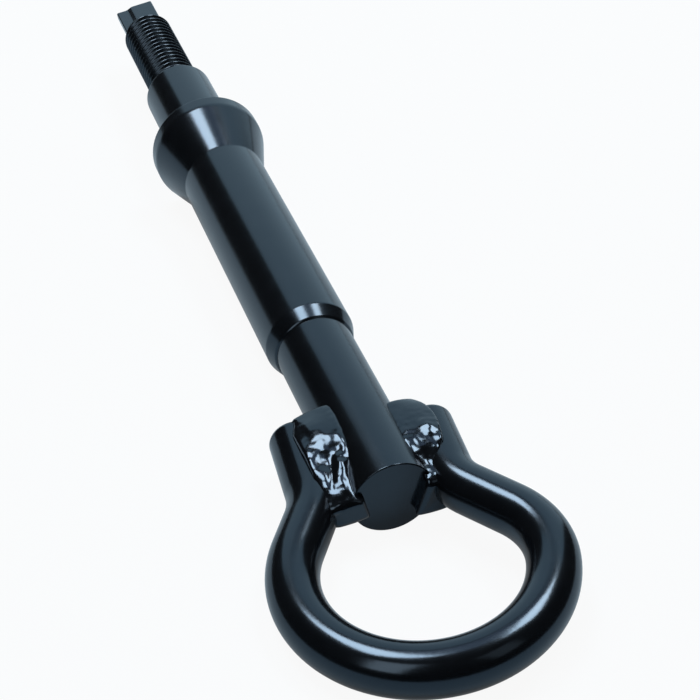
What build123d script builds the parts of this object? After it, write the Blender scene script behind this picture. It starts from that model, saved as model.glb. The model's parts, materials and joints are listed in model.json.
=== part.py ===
from build123d import *
import os
from math import cos, radians, sin

os.makedirs("parts", exist_ok=True)

# Tow eye that screws into a car's bumper beam. Millimetres.
# The shank's axis is Y, the thread points to +Y, and Y = 0 is the collar's seat.
# The eye lies flat in the XY plane.

# Threaded end
THREAD_R = 6.0
THREAD_END_Y = 55.3
THREAD_CHAMFER = 0.9
BLADE_WIDTH = 9.3
BLADE_THICK = 2.0
BLADE_ROOT_Y = THREAD_END_Y - THREAD_CHAMFER
BLADE_END_Y = 68.9
BLADE_TURN = 4.0
BLADE_STEP = 0.6
BLADE_STEP_FROM = -0.6
BLADE_STEP_TO = -2.0
BLADE_CORNER_R = 0.4

# Spigot, collar and body
SPIGOT_R = 7.8
SPIGOT_END_Y = 24.6
SPIGOT_CHAMFER = 0.5
COLLAR_R = 12.5
COLLAR_RIM = 3.4
CONE_START_Y = -15.4
BODY_R = 9.0
STEP_Y = -75.9
STEP_CHAMFER = 3.3
THIN_R = 7.7
FACE_Y = -123.4
FACE_EDGE = 0.25

# Eye bar
BAR_R = 4.7
EYE_R = 22.0
EYE_X = -1.3
EYE_Y = -141.2
BAR_END_EDGE = 1.1

# Left leg: leaves the ring, runs straight, bends back along the shank
LEFT_LEAVE = 145.5
LEFT_SHOULDER = 6.9
LEFT_BEND_R = 14.8
LEFT_LEAN = -5.4
LEFT_END_Y = -101.6

# Right leg: tighter shoulder arc, straight, then the bend along the shank
RIGHT_LEAVE = -18.4
RIGHT_ARC_R = 16.0
RIGHT_ARC_END = 33.2
RIGHT_SHOULDER = 9.0
RIGHT_BEND_R = 10.0
RIGHT_LEAN = 4.5
RIGHT_END_Y = -107.2

# Weld beads. A station is (distance from the eye's centre along the shank, x on the shank above,
# x on the shank below, x on the bar, top on the shank, top on the bar, depth below the axis)
LEFT_STATIONS = [
    (39.8, -4.9, -5.2, -12.2, 5.8, 4.2, 4.4),
    (33.0, -4.8, -5.2, -12.5, 6.2, 5.0, 5.0),
    (25.0, -5.4, -5.2, -12.2, 5.5, 4.9, 4.6),
    (16.4, -5.8, -4.9, -12.9, 3.0, 1.9, 1.4),
]
RIGHT_STATIONS = [
    (36.8, 6.0, 5.8, 10.2, 4.8, 3.9, 4.2),
    (32.8, 5.9, 5.6, 12.2, 5.1, 4.9, 5.0),
    (24.0, 5.9, 5.0, 11.9, 4.9, 4.9, 5.0),
    (15.8, 6.2, 3.4, 11.6, 2.2, 1.4, 4.2),
]
WELD_CROWN = 0.3
WELD_EDGE = 0.5

# The blade's section: a flat strip whose left part lies a step lower than its right part
blade_middle = [
    (BLADE_WIDTH / 2, BLADE_STEP / 2),
    (BLADE_STEP_FROM, BLADE_STEP / 2),
    (BLADE_STEP_TO, -BLADE_STEP / 2),
    (-BLADE_WIDTH / 2, -BLADE_STEP / 2),
]
blade_top = [(x, z + BLADE_THICK / 2) for x, z in blade_middle]
blade_underside = [(x, z - BLADE_THICK / 2) for x, z in reversed(blade_middle)]

# Turned shank with the stepped blade on its tip
with BuildPart() as shank:
    with BuildSketch(Plane.XY) as profile:
        with BuildLine():
            Polyline(
                (0, FACE_Y),
                (THIN_R, FACE_Y),
                (THIN_R, STEP_Y - STEP_CHAMFER),
                (BODY_R, STEP_Y),
                (BODY_R, CONE_START_Y),
                (COLLAR_R, -COLLAR_RIM),
                (COLLAR_R, 0),
                (SPIGOT_R, 0),
                (SPIGOT_R, SPIGOT_END_Y - SPIGOT_CHAMFER),
                (SPIGOT_R - SPIGOT_CHAMFER, SPIGOT_END_Y),
                (THREAD_R, SPIGOT_END_Y),
                (THREAD_R, THREAD_END_Y - THREAD_CHAMFER),
                (THREAD_R - THREAD_CHAMFER, THREAD_END_Y),
                (0, THREAD_END_Y),
                close=True,
            )
        make_face()
    revolve(axis=Axis.Y)
    face_rim = shank.edges().filter_by(GeomType.CIRCLE).group_by(Axis.Y)[0]
    fillet(face_rim, FACE_EDGE)
    with BuildSketch(Plane.XZ.offset(-BLADE_ROOT_Y)):
        Polygon(blade_top + blade_underside, rotation=BLADE_TURN)
    extrude(amount=BLADE_ROOT_Y - BLADE_END_Y)
    blade_corners = shank.edges().group_by(Axis.Y)[-1]
    fillet(blade_corners, BLADE_CORNER_R)
shank.part.label = "shank"
export_step(shank.part, "parts/shank.step")

# Eye: one bar swept along its bent centre line, seated against the shank
eye = Vector(EYE_X, EYE_Y)
left_join = eye + Vector(EYE_R * cos(radians(LEFT_LEAVE)), EYE_R * sin(radians(LEFT_LEAVE)))
right_join = eye + Vector(EYE_R * cos(radians(RIGHT_LEAVE)), EYE_R * sin(radians(RIGHT_LEAVE)))

with BuildPart() as eye_ring:
    with BuildLine() as centre_line:
        ring = ThreePointArc(left_join, eye + Vector(0, -EYE_R), right_join)
        arc_r = JernArc(ring @ 1, ring % 1, RIGHT_ARC_R, RIGHT_ARC_END - RIGHT_LEAVE)
        shoulder_r = Line(arc_r @ 1, arc_r @ 1 + (arc_r % 1) * RIGHT_SHOULDER)
        bend_r = JernArc(shoulder_r @ 1, shoulder_r % 1, RIGHT_BEND_R, -(RIGHT_ARC_END + RIGHT_LEAN))
        run_r = (RIGHT_END_Y - (bend_r @ 1).Y) / (bend_r % 1).Y
        leg_r = Line(bend_r @ 1, bend_r @ 1 + (bend_r % 1) * run_r)
        shoulder_l = Line(ring @ 0, ring @ 0 - (ring % 0) * LEFT_SHOULDER)
        bend_l = JernArc(shoulder_l @ 1, shoulder_l % 1, LEFT_BEND_R, 180 - LEFT_LEAVE + LEFT_LEAN)
        run_l = (LEFT_END_Y - (bend_l @ 1).Y) / (bend_l % 1).Y
        leg_l = Line(bend_l @ 1, bend_l @ 1 + (bend_l % 1) * run_l)
    with BuildSketch(Plane(origin=leg_l @ 1, z_dir=leg_l % 1)):
        Circle(BAR_R)
    sweep(path=centre_line.line)
    cut_ends = eye_ring.faces().filter_by(GeomType.PLANE).edges()
    chamfer(cut_ends, BAR_END_EDGE)
    with BuildSketch(Plane.XZ.offset(-FACE_Y)):
        Circle(THIN_R)
    extrude(amount=FACE_Y - STEP_Y, mode=Mode.SUBTRACT)
eye_ring.part.label = "eye_ring"
export_step(eye_ring.part, "parts/eye_ring.step")

# Welds: each bead fills the groove between the shank and one leg, and laps the rim of the end face.
# The left one climbs the shank, and the right one runs on a little past its leg's cut end.
for name, stations in (("weld_left", LEFT_STATIONS), ("weld_right", RIGHT_STATIONS)):
    with BuildPart() as weld:
        for along, x_top, x_low, x_out, top_in, top_out, depth in stations:
            x_mid = (x_top + x_out) / 2
            crown = (top_in + top_out) / 2 + WELD_CROWN
            with BuildSketch(Plane.XZ.offset(-(EYE_Y + along))):
                with BuildLine():
                    ThreePointArc((x_top, top_in), (x_mid, crown), (x_out, top_out))
                    Line((x_out, top_out), (x_out, -depth))
                    ThreePointArc((x_out, -depth), (x_mid, -depth - WELD_CROWN), (x_low, -depth))
                    Line((x_low, -depth), (x_top, top_in))
                make_face()
        loft()
        ends = weld.edges().group_by(Axis.Y)
        chamfer(ends[0] + ends[-1], WELD_EDGE)
        add(shank.part, mode=Mode.SUBTRACT)
        add(eye_ring.part, mode=Mode.SUBTRACT)
    weld.part.label = name
    export_step(weld.part, f"parts/{name}.step")
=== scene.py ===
import bmesh
import bpy
import json
from math import ceil, copysign, cos, exp, hypot, pi, radians, sin
from mathutils import Matrix, Vector, noise
from mathutils.bvhtree import BVHTree


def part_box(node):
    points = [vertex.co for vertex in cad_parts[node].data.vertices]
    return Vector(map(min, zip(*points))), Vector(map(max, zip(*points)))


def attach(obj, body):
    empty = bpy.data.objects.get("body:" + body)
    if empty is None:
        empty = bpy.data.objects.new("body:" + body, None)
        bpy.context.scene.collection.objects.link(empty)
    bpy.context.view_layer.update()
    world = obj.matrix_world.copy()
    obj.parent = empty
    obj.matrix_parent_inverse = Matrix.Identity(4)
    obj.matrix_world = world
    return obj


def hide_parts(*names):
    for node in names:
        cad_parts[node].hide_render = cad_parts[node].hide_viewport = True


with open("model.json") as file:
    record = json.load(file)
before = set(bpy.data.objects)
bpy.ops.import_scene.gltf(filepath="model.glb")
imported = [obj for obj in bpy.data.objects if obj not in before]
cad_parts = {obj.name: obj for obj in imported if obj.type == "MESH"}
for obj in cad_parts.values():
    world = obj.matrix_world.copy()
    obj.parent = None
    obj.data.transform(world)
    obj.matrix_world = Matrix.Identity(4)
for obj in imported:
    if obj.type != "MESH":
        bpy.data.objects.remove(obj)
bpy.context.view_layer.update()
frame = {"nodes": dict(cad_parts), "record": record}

# Shank: one steel bar turned on a lathe, with a thin end for the eye, a step with a small lip up to the
# body, a cone that opens into a collar, and a pilot spigot. The sizes that fit the car's socket come from
# the part's own mounts.
MM = 0.001
NEAR = 0.001 * MM
TOUCHING = 0.0001 * MM
mounts = {mount["name"]: mount for mount in frame["record"]["mounts"]}
shank_low, shank_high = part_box("shank")
FACE_Y = shank_low.y
COLLAR_R = shank_high.x
PILOT_R = mounts["pilot"]["dims"]["r_mm"] * MM
PILOT_CHAMFER = 0.5 * MM
SHOULDER_Y = mounts["pilot"]["dims"]["length_mm"] * MM + PILOT_CHAMFER
THIN_R = 7.7 * MM
STEP_Y = -75.9 * MM
STEP_RUN = 3.3 * MM
STEP_LIP_R = 8.05 * MM
STEP_LIP_RUN = 3.0 * MM
BODY_R = 9.0 * MM
CONE_Y = -15.4 * MM
RIM_Y = -3.4 * MM
TURNED_SIDES = 128
SHARP_BREAK = 0.25 * MM
SOFT_BREAK = 0.6 * MM
BREAK_STEPS = 3

face_rim = (THIN_R, FACE_Y)
step_foot = (THIN_R, STEP_Y - STEP_RUN)
step_lip = (STEP_LIP_R, STEP_Y - STEP_LIP_RUN)
step_top = (BODY_R, STEP_Y)
cone_foot = (BODY_R, CONE_Y)
cone_top = (COLLAR_R, RIM_Y)
collar_edge = (COLLAR_R, 0)
seat_root = (PILOT_R, 0)
pilot_edge = (PILOT_R, SHOULDER_Y - PILOT_CHAMFER)
pilot_end = (PILOT_R - PILOT_CHAMFER, SHOULDER_Y)
profile = ((0, FACE_Y), face_rim, step_foot, step_lip, step_top, cone_foot, cone_top, collar_edge,
           seat_root, pilot_edge, pilot_end)


def spun_edges(bm, corner):
    """The circle of edges that a corner of the profile leaves when it is spun about the shank's axis."""
    radius, y = corner

    def on_circle(vert):
        return abs(hypot(vert.co.x, vert.co.z) - radius) < NEAR and abs(vert.co.y - y) < NEAR

    return [edge for edge in bm.edges if all(on_circle(vert) for vert in edge.verts)]


shank_bm = bmesh.new()
outline = [shank_bm.verts.new((radius, y, 0)) for radius, y in profile]
for start, end in zip(outline, outline[1:]):
    shank_bm.edges.new((start, end))
bmesh.ops.spin(shank_bm, geom=shank_bm.verts[:] + shank_bm.edges[:], cent=(0, 0, 0), axis=(0, 1, 0),
               angle=2 * pi, steps=TURNED_SIDES, use_merge=True)
bmesh.ops.remove_doubles(shank_bm, verts=shank_bm.verts[:], dist=TOUCHING)
for corners, width in (((face_rim, step_lip, step_top, collar_edge, pilot_edge, cone_foot), SHARP_BREAK),
                       ((cone_top,), SOFT_BREAK)):
    edges = [edge for corner in corners for edge in spun_edges(shank_bm, corner)]
    bmesh.ops.bevel(shank_bm, geom=edges, offset=width, offset_type="OFFSET", segments=BREAK_STEPS,
                    profile=0.5, affect="EDGES", material=-1)

# Thread on the shank: M12 with the coarse pitch, cut up to the spigot's shoulder, where it runs out. Paint
# rounds its crests and roots, so the turns are shallower than bare ones. The profile is spun along a helix,
# and the end is turned down to a chamfer.
THREAD_R = mounts["thread"]["dims"]["r_mm"] * MM
THREAD_LENGTH = mounts["thread"]["dims"]["length_mm"] * MM
THREAD_CHAMFER = 0.9 * MM
THREAD_END_Y = mounts["thread"]["pos_m"][1] + THREAD_LENGTH / 2 + THREAD_CHAMFER
CHAMFER_Y = THREAD_END_Y - THREAD_CHAMFER
PITCH = 1.75 * MM
DEPTH = 0.42 * PITCH
NECK_R = THREAD_R - DEPTH / 2
RUN_OUT = PITCH
SPARE_TURNS = 1
THREAD_SIDES = 96
TOOTH_STEPS = 20

one_turn = []
for step in range(TOOTH_STEPS):
    sunk = (1 - cos(2 * pi * step / TOOTH_STEPS)) / 2
    one_turn.append((PITCH * step / TOOTH_STEPS, THREAD_R - DEPTH * sunk))
thread_bm = bmesh.new()
turns = ceil((THREAD_END_Y - SHOULDER_Y) / PITCH) + 2 * SPARE_TURNS
teeth = []
for turn in range(turns):
    foot_y = SHOULDER_Y + (turn - SPARE_TURNS) * PITCH
    teeth += [thread_bm.verts.new((radius, foot_y + rise, 0)) for rise, radius in one_turn]
for start, end in zip(teeth, teeth[1:]):
    thread_bm.edges.new((start, end))
bmesh.ops.spin(thread_bm, geom=thread_bm.verts[:] + thread_bm.edges[:], cent=(0, 0, 0), axis=(0, 1, 0),
               angle=2 * pi, steps=THREAD_SIDES, dvec=(0, PITCH / THREAD_SIDES, 0))
bmesh.ops.remove_doubles(thread_bm, verts=thread_bm.verts[:], dist=NEAR)
cuts = ((SHOULDER_Y, True, False), (CHAMFER_Y, False, False), (THREAD_END_Y, False, True))
for cut_y, drop_below, drop_above in cuts:
    whole = thread_bm.verts[:] + thread_bm.edges[:] + thread_bm.faces[:]
    bmesh.ops.bisect_plane(thread_bm, geom=whole, dist=TOUCHING, plane_co=(0, cut_y, 0), plane_no=(0, 1, 0),
                           clear_inner=drop_below, clear_outer=drop_above)
for vert in thread_bm.verts:
    radius = hypot(vert.co.x, vert.co.z)
    chamfer_r = THREAD_R - max(0, vert.co.y - THREAD_END_Y + THREAD_CHAMFER)
    formed = min(1, (vert.co.y - SHOULDER_Y) / RUN_OUT)
    turned_r = NECK_R + (min(radius, chamfer_r) - NECK_R) * formed
    vert.co.x *= turned_r / radius
    vert.co.z *= turned_r / radius
tip_edges = [edge for edge in thread_bm.edges
             if edge.is_boundary and edge.verts[0].co.y > THREAD_END_Y - PITCH / 2]
bmesh.ops.contextual_create(thread_bm, geom=tip_edges)
thread_mesh = bpy.data.meshes.new("thread")
thread_bm.to_mesh(thread_mesh)
thread_bm.free()
shank_bm.from_mesh(thread_mesh)
bpy.data.meshes.remove(thread_mesh)
bmesh.ops.bridge_loops(shank_bm, edges=[edge for edge in shank_bm.edges if edge.is_boundary])

# Tongue on the shank's tip: a flat of the same bar, forged with its left part a step lower than its right,
# turned a little about the axis, its corners rounded.
TONGUE_WIDTH = 9.3 * MM
TONGUE_THICK = 2.0 * MM
TONGUE_TURN = radians(4.0)
TONGUE_STEP = 0.6 * MM
TONGUE_STEP_FROM = -0.6 * MM
TONGUE_STEP_TO = -2.0 * MM
TONGUE_CORNER = 0.4 * MM
TONGUE_ROOT_Y = CHAMFER_Y

tongue_middle = ((TONGUE_WIDTH / 2, TONGUE_STEP / 2), (TONGUE_STEP_FROM, TONGUE_STEP / 2),
                 (TONGUE_STEP_TO, -TONGUE_STEP / 2), (-TONGUE_WIDTH / 2, -TONGUE_STEP / 2))
tongue_top = [(x, z + TONGUE_THICK / 2) for x, z in tongue_middle]
tongue_underside = [(x, z - TONGUE_THICK / 2) for x, z in reversed(tongue_middle)]
tongue_bm = bmesh.new()
root_corners = [tongue_bm.verts.new((x, TONGUE_ROOT_Y, z)) for x, z in tongue_top + tongue_underside]
root_face = tongue_bm.faces.new(root_corners)
drawn = bmesh.ops.extrude_face_region(tongue_bm, geom=[root_face])["geom"]
tip_corners = [part for part in drawn if isinstance(part, bmesh.types.BMVert)]
bmesh.ops.translate(tongue_bm, verts=tip_corners, vec=(0, shank_high.y - TONGUE_ROOT_Y, 0))
bmesh.ops.rotate(tongue_bm, verts=tongue_bm.verts[:], cent=(0, 0, 0),
                 matrix=Matrix.Rotation(-TONGUE_TURN, 3, "Y"))
bmesh.ops.bevel(tongue_bm, geom=tongue_bm.edges[:], offset=TONGUE_CORNER, offset_type="OFFSET",
                segments=BREAK_STEPS, profile=0.5, affect="EDGES", material=-1)
tongue_mesh = bpy.data.meshes.new("tongue")
tongue_bm.to_mesh(tongue_mesh)
tongue_bm.free()
shank_bm.from_mesh(tongue_mesh)
bpy.data.meshes.remove(tongue_mesh)
bmesh.ops.recalc_face_normals(shank_bm, faces=shank_bm.faces[:])

# Paint over the shank, thread and tongue, which are one piece: black with a blue sheen, sprayed in one
# coat, with a fine orange peel and a few grains of dust. The eye and the welds wear it too, glossier.
BLUE_SHEEN = (0.55, 0.77, 1.0, 1)
DEEP_BLACK = (0.0015, 0.0018, 0.0024, 1)
PALE_BLACK = (0.0032, 0.0037, 0.0047, 1)
DUST_GREY = (0.06, 0.08, 0.1, 1)
DUST_SIZE = 0.07
DUST_RARITY = 0.93
CREASE = radians(35)


def black_paint(name, roughness, peel):
    """The paint at a mean roughness; peel is the height of its orange peel in metres."""
    material = bpy.data.materials.new(name)
    material.use_nodes = True
    nodes, links = material.node_tree.nodes, material.node_tree.links
    shader = nodes["Principled BSDF"]
    shader.inputs["IOR"].default_value = 1.55
    shader.inputs["Specular Tint"].default_value = BLUE_SHEEN
    place = nodes.new("ShaderNodeTexCoord")
    in_mm = nodes.new("ShaderNodeMapping")
    in_mm.inputs["Scale"].default_value = (1 / MM, 1 / MM, 1 / MM)
    links.new(place.outputs["Object"], in_mm.inputs["Vector"])

    cloud = nodes.new("ShaderNodeTexNoise")
    cloud.inputs["Scale"].default_value = 0.25
    cloud.inputs["Detail"].default_value = 4
    links.new(in_mm.outputs["Vector"], cloud.inputs["Vector"])
    rough = nodes.new("ShaderNodeMapRange")
    rough.inputs["From Min"].default_value = 0.3
    rough.inputs["From Max"].default_value = 0.7
    rough.inputs["To Min"].default_value = roughness * 0.95
    rough.inputs["To Max"].default_value = roughness * 1.08
    links.new(cloud.outputs["Fac"], rough.inputs["Value"])
    links.new(rough.outputs["Result"], shader.inputs["Roughness"])

    tone = nodes.new("ShaderNodeMix")
    tone.data_type = "RGBA"
    tone.inputs["A"].default_value = DEEP_BLACK
    tone.inputs["B"].default_value = PALE_BLACK
    links.new(cloud.outputs["Fac"], tone.inputs["Factor"])

    grit = nodes.new("ShaderNodeTexVoronoi")
    grit.inputs["Scale"].default_value = 0.4
    links.new(in_mm.outputs["Vector"], grit.inputs["Vector"])
    small = nodes.new("ShaderNodeMath")
    small.operation = "LESS_THAN"
    small.inputs[1].default_value = DUST_SIZE
    links.new(grit.outputs["Distance"], small.inputs[0])
    few = nodes.new("ShaderNodeMath")
    few.operation = "GREATER_THAN"
    few.inputs[1].default_value = DUST_RARITY
    links.new(grit.outputs["Color"], few.inputs[0])
    speck = nodes.new("ShaderNodeMath")
    speck.operation = "MULTIPLY"
    links.new(small.outputs["Value"], speck.inputs[0])
    links.new(few.outputs["Value"], speck.inputs[1])
    dusted = nodes.new("ShaderNodeMix")
    dusted.data_type = "RGBA"
    dusted.inputs["B"].default_value = DUST_GREY
    links.new(speck.outputs["Value"], dusted.inputs["Factor"])
    links.new(tone.outputs["Result"], dusted.inputs["A"])
    links.new(dusted.outputs["Result"], shader.inputs["Base Color"])

    dimples = nodes.new("ShaderNodeTexNoise")
    dimples.inputs["Scale"].default_value = 0.9
    dimples.inputs["Detail"].default_value = 3
    links.new(in_mm.outputs["Vector"], dimples.inputs["Vector"])
    bump = nodes.new("ShaderNodeBump")
    bump.inputs["Distance"].default_value = peel
    links.new(dimples.outputs["Fac"], bump.inputs["Height"])
    links.new(bump.outputs["Normal"], shader.inputs["Normal"])
    return material


def painted_piece(name, bm, paint, crease):
    """Makes a piece of the mesh on the one rigid body, smooth but for edges sharper than the crease."""
    mesh = bpy.data.meshes.new(name)
    bm.to_mesh(mesh)
    bm.free()
    mesh.shade_smooth()
    mesh.set_sharp_from_angle(angle=crease)
    mesh.materials.append(paint)
    piece = bpy.data.objects.new(name, mesh)
    bpy.context.scene.collection.objects.link(piece)
    even = piece.modifiers.new("even_shading", "WEIGHTED_NORMAL")
    even.keep_sharp = True
    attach(piece, "root")
    return piece


satin = black_paint("satin_black_paint", roughness=0.19, peel=0.004 * MM)
shank_tree = BVHTree.FromBMesh(shank_bm)
shank = painted_piece("painted_shank", shank_bm, satin, CREASE)
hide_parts("shank")

# Eye: one length of round bar bent cold into a ring, its two legs bent back to lie along the shank's thin
# end. It is made as on a bender, from the ring outwards: bend, run straight, bend, run straight. The legs
# leave the ring at angles counted from +X, and lean from the shank's axis.
ring_low, ring_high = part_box("eye_ring")
BAR_R = ring_high.z
eye = Vector(mounts["eye"]["pos_m"])
EYE_R = eye.y - ring_low.y - BAR_R
LEFT_LEAVE = radians(145.5)
RIGHT_LEAVE = radians(360 - 18.4)
LEFT_SHOULDER = 6.9 * MM
LEFT_BEND_R = 14.8 * MM
LEFT_LEAN = radians(-5.4)
LEFT_END_Y = ring_high.y
RIGHT_ARC_R = 16.0 * MM
RIGHT_ARC_END = radians(33.2)
RIGHT_SHOULDER = 9.0 * MM
RIGHT_BEND_R = 10.0 * MM
RIGHT_LEAN = radians(4.5)
RIGHT_END_Y = -107.2 * MM
BAR_SIDES = 64
BEND_STEP = radians(2.5)
CUT_BREAK = 1.3 * MM
CUT_STEPS = 5


class Bar:
    """The open end of a bar that is being bent: the loop of edges, its centre and its heading."""

    def __init__(self, bm, loop, at, heading):
        self.bm, self.loop, self.at, self.heading = bm, loop, at, heading

    def bend(self, radius, angle):
        """Bends the bar on, to the left for an angle above 0 and to the right below it."""
        side = Vector((-self.heading.y, self.heading.x, 0)) * copysign(radius, angle)
        centre = self.at + side
        made = bmesh.ops.spin(self.bm, geom=self.loop, cent=centre, axis=(0, 0, 1), angle=angle,
                              steps=ceil(abs(angle) / BEND_STEP))
        self.loop = [edge for edge in made["geom_last"] if isinstance(edge, bmesh.types.BMEdge)]
        turned = Matrix.Rotation(angle, 3, "Z")
        self.at = centre - turned @ side
        self.heading = turned @ self.heading

    def run(self, length):
        """Runs the bar straight on."""
        made = bmesh.ops.extrude_edge_only(self.bm, edges=self.loop)["geom"]
        verts = [vert for vert in made if isinstance(vert, bmesh.types.BMVert)]
        bmesh.ops.translate(self.bm, verts=verts, vec=self.heading * length)
        self.loop = [edge for edge in made if isinstance(edge, bmesh.types.BMEdge)
                     and all(vert in verts for vert in edge.verts)]
        self.at = self.at + self.heading * length

    def cut_at(self, y):
        """Runs the bar straight on until its centre is at y, and closes it with a rounded edge."""
        self.run((y - self.at.y) / self.heading.y)
        bmesh.ops.contextual_create(self.bm, geom=self.loop)
        bmesh.ops.bevel(self.bm, geom=self.loop, offset=CUT_BREAK, offset_type="OFFSET", segments=CUT_STEPS,
                        profile=0.5, affect="EDGES", material=-1)


eye_bm = bmesh.new()
across = Matrix.Rotation(LEFT_LEAVE, 4, "Z") @ Matrix.Rotation(pi / 2, 4, "X")
left_join = eye + EYE_R * Vector((cos(LEFT_LEAVE), sin(LEFT_LEAVE), 0))
bmesh.ops.create_circle(eye_bm, segments=BAR_SIDES, radius=BAR_R,
                        matrix=Matrix.Translation(left_join) @ across)
first_loop = eye_bm.edges[:]
ring_heading = Vector((-sin(LEFT_LEAVE), cos(LEFT_LEAVE), 0))

right_leg = Bar(eye_bm, first_loop, left_join, ring_heading)
right_leg.bend(EYE_R, RIGHT_LEAVE - LEFT_LEAVE)
right_leg.bend(RIGHT_ARC_R, 2 * pi + RIGHT_ARC_END - RIGHT_LEAVE)
right_leg.run(RIGHT_SHOULDER)
right_leg.bend(RIGHT_BEND_R, -(RIGHT_ARC_END + RIGHT_LEAN))
right_leg.cut_at(RIGHT_END_Y)

left_leg = Bar(eye_bm, first_loop, left_join, -ring_heading)
left_leg.run(LEFT_SHOULDER)
left_leg.bend(LEFT_BEND_R, pi - LEFT_LEAVE + LEFT_LEAN)
left_leg.cut_at(LEFT_END_Y)
bmesh.ops.recalc_face_normals(eye_bm, faces=eye_bm.faces[:])
eye_tree = BVHTree.FromBMesh(eye_bm)
semi_gloss = black_paint("semi_gloss_black_paint", roughness=0.17, peel=0.008 * MM)
eye_ring = painted_piece("painted_eye", eye_bm, semi_gloss, CREASE)
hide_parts("eye_ring")

# Welds: two beads laid by hand between the shank and the legs. The far half of each is a smooth fill, the
# near half froze in lumps and hollows, and the paint lies thick and glossy on both.
WELD_VOXEL = 0.2 * MM
WELD_SMOOTHING = 0.5
SMOOTHING_REPEATS = 6
WELD_SWELL = 0.25 * MM
WELD_CREASE = radians(80)
SEATED = 0.06 * MM
TOE_REACH = 1.2 * MM
TOE_SINK = 0.2 * MM
RIPPLE_SIZE = 1.1 * MM
RIPPLE_HEIGHT = 0.08 * MM
CALM = 0.3
CALM_Y = -106.0 * MM
CALM_FADE = 8.0 * MM
# Lumps, with a height above 0, and hollows, below 0: x, y, length and width in millimetres,
# turn of the length from the shank's axis in degrees, height in millimetres.
LEFT_LUMPS = (
    (-4.0, -109.0, 9.0, 5.0, 0, 0.35),
    (-9.2, -107.0, 3.4, 2.0, 0, 0.5),
    (-12.2, -111.5, 5.0, 1.8, 0, 0.4),
    (-8.6, -115.5, 2.4, 2.0, 0, -0.85),
    (-6.5, -113.2, 1.4, 1.2, 0, -0.4),
    (-7.4, -116.8, 1.6, 1.4, 0, 0.5),
    (-9.4, -118.5, 2.8, 0.8, -20, -0.4),
    (-4.8, -121.5, 5.0, 1.6, 0, -1.5),
)
RIGHT_LUMPS = (
    (5.2, -116.0, 4.5, 2.2, 0, 0.45),
    (10.4, -114.6, 2.2, 1.8, 0, 0.5),
    (12.1, -118.0, 1.6, 1.2, 0, 0.45),
    (11.6, -120.5, 2.5, 0.9, 0, 0.35),
    (7.6, -120.8, 2.4, 1.7, 0, -0.9),
)
metals = (shank_tree, eye_tree)
glossy = black_paint("glossy_black_paint", roughness=0.13, peel=0.006 * MM)


def lumps_rise(lumps, at):
    """How far the lumps and hollows raise a bead at a point."""
    rise = 0
    for x, y, length, width, turn, height in lumps:
        away = Matrix.Rotation(-radians(turn), 2) @ Vector((at.x / MM - x, at.y / MM - y))
        rise += height * exp(-(away.y / length) ** 2 - (away.x / width) ** 2)
    return rise * MM


def weld_bead(name, node, lumps):
    """A bead in place of a weld's solid: the solid's own form, its toes sunk into the shank and the bar,
    then rounded and swollen a little, with lumps and a ripple on its upper side."""
    source = bpy.data.meshes.new(name + "_form")
    bm = bmesh.new()
    bm.from_mesh(frame["nodes"][node].data)
    bmesh.ops.remove_doubles(bm, verts=bm.verts[:], dist=NEAR)
    for vert in bm.verts:
        seats = [metal.find_nearest(vert.co) for metal in metals]
        for _, outward, _, clear in seats:
            if clear < SEATED:
                vert.co -= Vector((outward.x * TOE_REACH, outward.y * TOE_REACH, outward.z * TOE_SINK))
    bm.to_mesh(source)
    bm.free()
    form = bpy.data.objects.new(name + "_form", source)
    bpy.context.scene.collection.objects.link(form)
    remesh = form.modifiers.new("remesh", "REMESH")
    remesh.mode = "VOXEL"
    remesh.voxel_size = WELD_VOXEL
    shaped = bpy.data.meshes.new_from_object(form.evaluated_get(bpy.context.evaluated_depsgraph_get()))
    bpy.data.objects.remove(form)
    bm = bmesh.new()
    bm.from_mesh(shaped)
    for repeat in range(SMOOTHING_REPEATS):
        bmesh.ops.smooth_vert(bm, verts=bm.verts[:], factor=WELD_SMOOTHING, use_axis_x=True,
                              use_axis_y=True, use_axis_z=True)
    bm.normal_update()
    moves = []
    for vert in bm.verts:
        facing_up = max(0, vert.normal.z)
        unrest = min(1, max(CALM, (CALM_Y - vert.co.y) / CALM_FADE))
        ripple = noise.noise(vert.co / RIPPLE_SIZE) * RIPPLE_HEIGHT * unrest
        rise = facing_up * (lumps_rise(lumps, vert.co) + ripple)
        moves.append(vert.normal * WELD_SWELL + Vector((0, 0, rise)))
    for vert, move in zip(bm.verts, moves):
        vert.co += move
    piece = painted_piece(name, bm, glossy, WELD_CREASE)
    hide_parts(node)


weld_bead("left_weld_bead", "weld_left", LEFT_LUMPS)
weld_bead("right_weld_bead", "weld_right", RIGHT_LUMPS)

# Floor: a sheet of white paper. The tow eye lies on it as it comes to rest, rolled over until the collar's
# rim, the end of the shank and the left of the ring all touch. The paper shows white to the camera, dimmer
# in reflections, and throws back a weak blue light.
FLOOR_SIZE = 6
ROLLED = Vector((0.1, 0, 1))
SETTLING_REPEATS = 8
PAPER_BLUE = (0.28, 0.40, 0.48, 1)
WHITE_SEEN = 0.93
WHITE_MIRRORED = 0.25
shank_points = [vert.co for vert in shank.data.vertices]
collar_points = [point for point in shank_points if point.y > CONE_Y]
thin_points = [point for point in shank_points if point.y < STEP_Y]
ring_points = [vert.co for vert in eye_ring.data.vertices]
rests = (collar_points, thin_points, ring_points)
up = ROLLED.normalized()
for repeat in range(SETTLING_REPEATS):
    collar_low, face_low, ring_foot = [min(points, key=lambda point: point.dot(up)) for points in rests]
    up = (ring_foot - collar_low).cross(face_low - collar_low).normalized()
    if up.z < 0:
        up = -up
lie = up.to_track_quat("Z", "Y").to_matrix().to_4x4()
floor_bm = bmesh.new()
bmesh.ops.create_grid(floor_bm, x_segments=1, y_segments=1, size=FLOOR_SIZE,
                      matrix=Matrix.Translation(collar_low) @ lie)
floor_mesh = bpy.data.meshes.new("floor")
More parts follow.
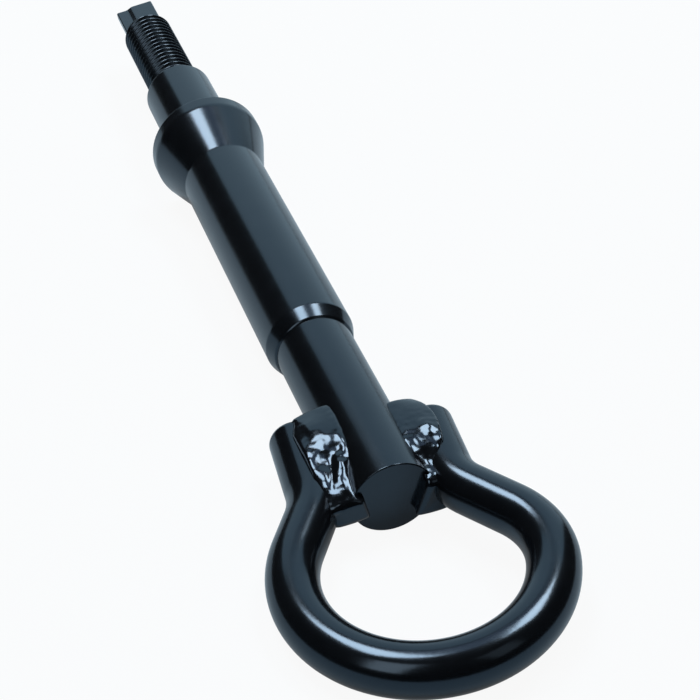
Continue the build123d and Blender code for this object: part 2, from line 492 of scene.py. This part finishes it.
floor_bm.to_mesh(floor_mesh)
floor_bm.free()
floor = bpy.data.objects.new("floor", floor_mesh)
bpy.context.scene.collection.objects.link(floor)
paper = bpy.data.materials.new("white_paper")
paper.use_nodes = True
nodes, links = paper.node_tree.nodes, paper.node_tree.links
matt = nodes["Principled BSDF"]
matt.inputs["Base Color"].default_value = PAPER_BLUE
matt.inputs["Roughness"].default_value = 0.9
matt.inputs["Specular IOR Level"].default_value = 0.1
white = nodes.new("ShaderNodeEmission")
ray = nodes.new("ShaderNodeLightPath")
seen = nodes.new("ShaderNodeMath")
seen.operation = "MULTIPLY"
seen.inputs[1].default_value = WHITE_SEEN
links.new(ray.outputs["Is Camera Ray"], seen.inputs[0])
mirrored = nodes.new("ShaderNodeMath")
mirrored.operation = "MULTIPLY_ADD"
mirrored.inputs[1].default_value = WHITE_MIRRORED
links.new(ray.outputs["Is Glossy Ray"], mirrored.inputs[0])
links.new(seen.outputs["Value"], mirrored.inputs[2])
mixed = nodes.new("ShaderNodeMixShader")
links.new(mirrored.outputs["Value"], mixed.inputs["Fac"])
links.new(matt.outputs["BSDF"], mixed.inputs[1])
links.new(white.outputs["Emission"], mixed.inputs[2])
links.new(mixed.outputs["Shader"], nodes["Material Output"].inputs["Surface"])
floor_mesh.materials.append(paper)

# Studio: softboxes overhead and to the right, a weaker one to the left, a dim blue ceiling, a pale screen
# at the back and a dim one at the right near the camera, in an otherwise dark room. Sizes are in metres.
MIDDLE = Vector((0, -0.07, 0))


def softbox(name, at, facing, width, height, radiance, color=(1, 1, 1)):
    """An area lamp of an even radiance, at a place measured from the middle of the object."""
    lamp = bpy.data.lights.new(name, "AREA")
    lamp.shape = "RECTANGLE"
    lamp.size = width
    lamp.size_y = height
    lamp.energy = pi * width * height * radiance
    lamp.color = color
    box = bpy.data.objects.new(name, lamp)
    aim = (-Vector(facing)).to_track_quat("Z", "Y").to_matrix().to_4x4()
    box.matrix_world = Matrix.Translation(MIDDLE + Vector(at)) @ aim
    box.visible_camera = False
    bpy.context.scene.collection.objects.link(box)


softbox("overhead_softbox", at=(-0.105, 0.46, 1.2), facing=(0, 0, -1), width=0.40, height=0.66,
        radiance=15.5)
softbox("right_softbox", at=(0.70, 0.26, 1.2), facing=(0, 0, -1), width=0.40, height=0.58, radiance=17)
softbox("ceiling", at=(0.15, 0.6, 1.5), facing=(0, 0, -1), width=1.1, height=0.9, radiance=0.8,
        color=(0.6, 0.75, 1.0))
softbox("left_softbox", at=(-0.62, -0.56, 1.0), facing=(0.62, 0.56, -1.0), width=0.45, height=0.85,
        radiance=2.3)
softbox("back_screen", at=(0.55, 1.35, 0.68), facing=(-0.55, -1.35, -0.4), width=2.1, height=1.64,
        radiance=0.95, color=(0.7, 0.96, 1.12))
softbox("near_screen", at=(0.65, -0.95, 0.95), facing=(-0.65, 0.95, -0.95), width=0.45, height=0.75,
        radiance=0.4)
world = bpy.data.worlds.new("studio")
world.use_nodes = True
world.node_tree.nodes["Background"].inputs["Color"].default_value = (0.02, 0.02, 0.02, 1)
bpy.context.scene.world = world

# Camera at the photograph's place: beyond the eye and a little to the left, looking down along the shank.
AZIMUTH = radians(14.95)
ELEVATION = radians(39.77)
ROLL = radians(-6.41)
CAMERA_AT = Vector((-62.98, -341.04, 223.18)) * MM
view = bpy.data.cameras.new("view")
view.lens = 92.78
view.sensor_width = 36
camera = bpy.data.objects.new("camera", view)
aim = (Matrix.Rotation(-AZIMUTH, 4, "Z") @ Matrix.Rotation(pi / 2 - ELEVATION, 4, "X")
       @ Matrix.Rotation(ROLL, 4, "Z"))
camera.matrix_world = Matrix.Translation(CAMERA_AT) @ aim
bpy.context.scene.collection.objects.link(camera)
bpy.context.scene.camera = camera
bpy.context.scene.view_settings.view_transform = "Standard"
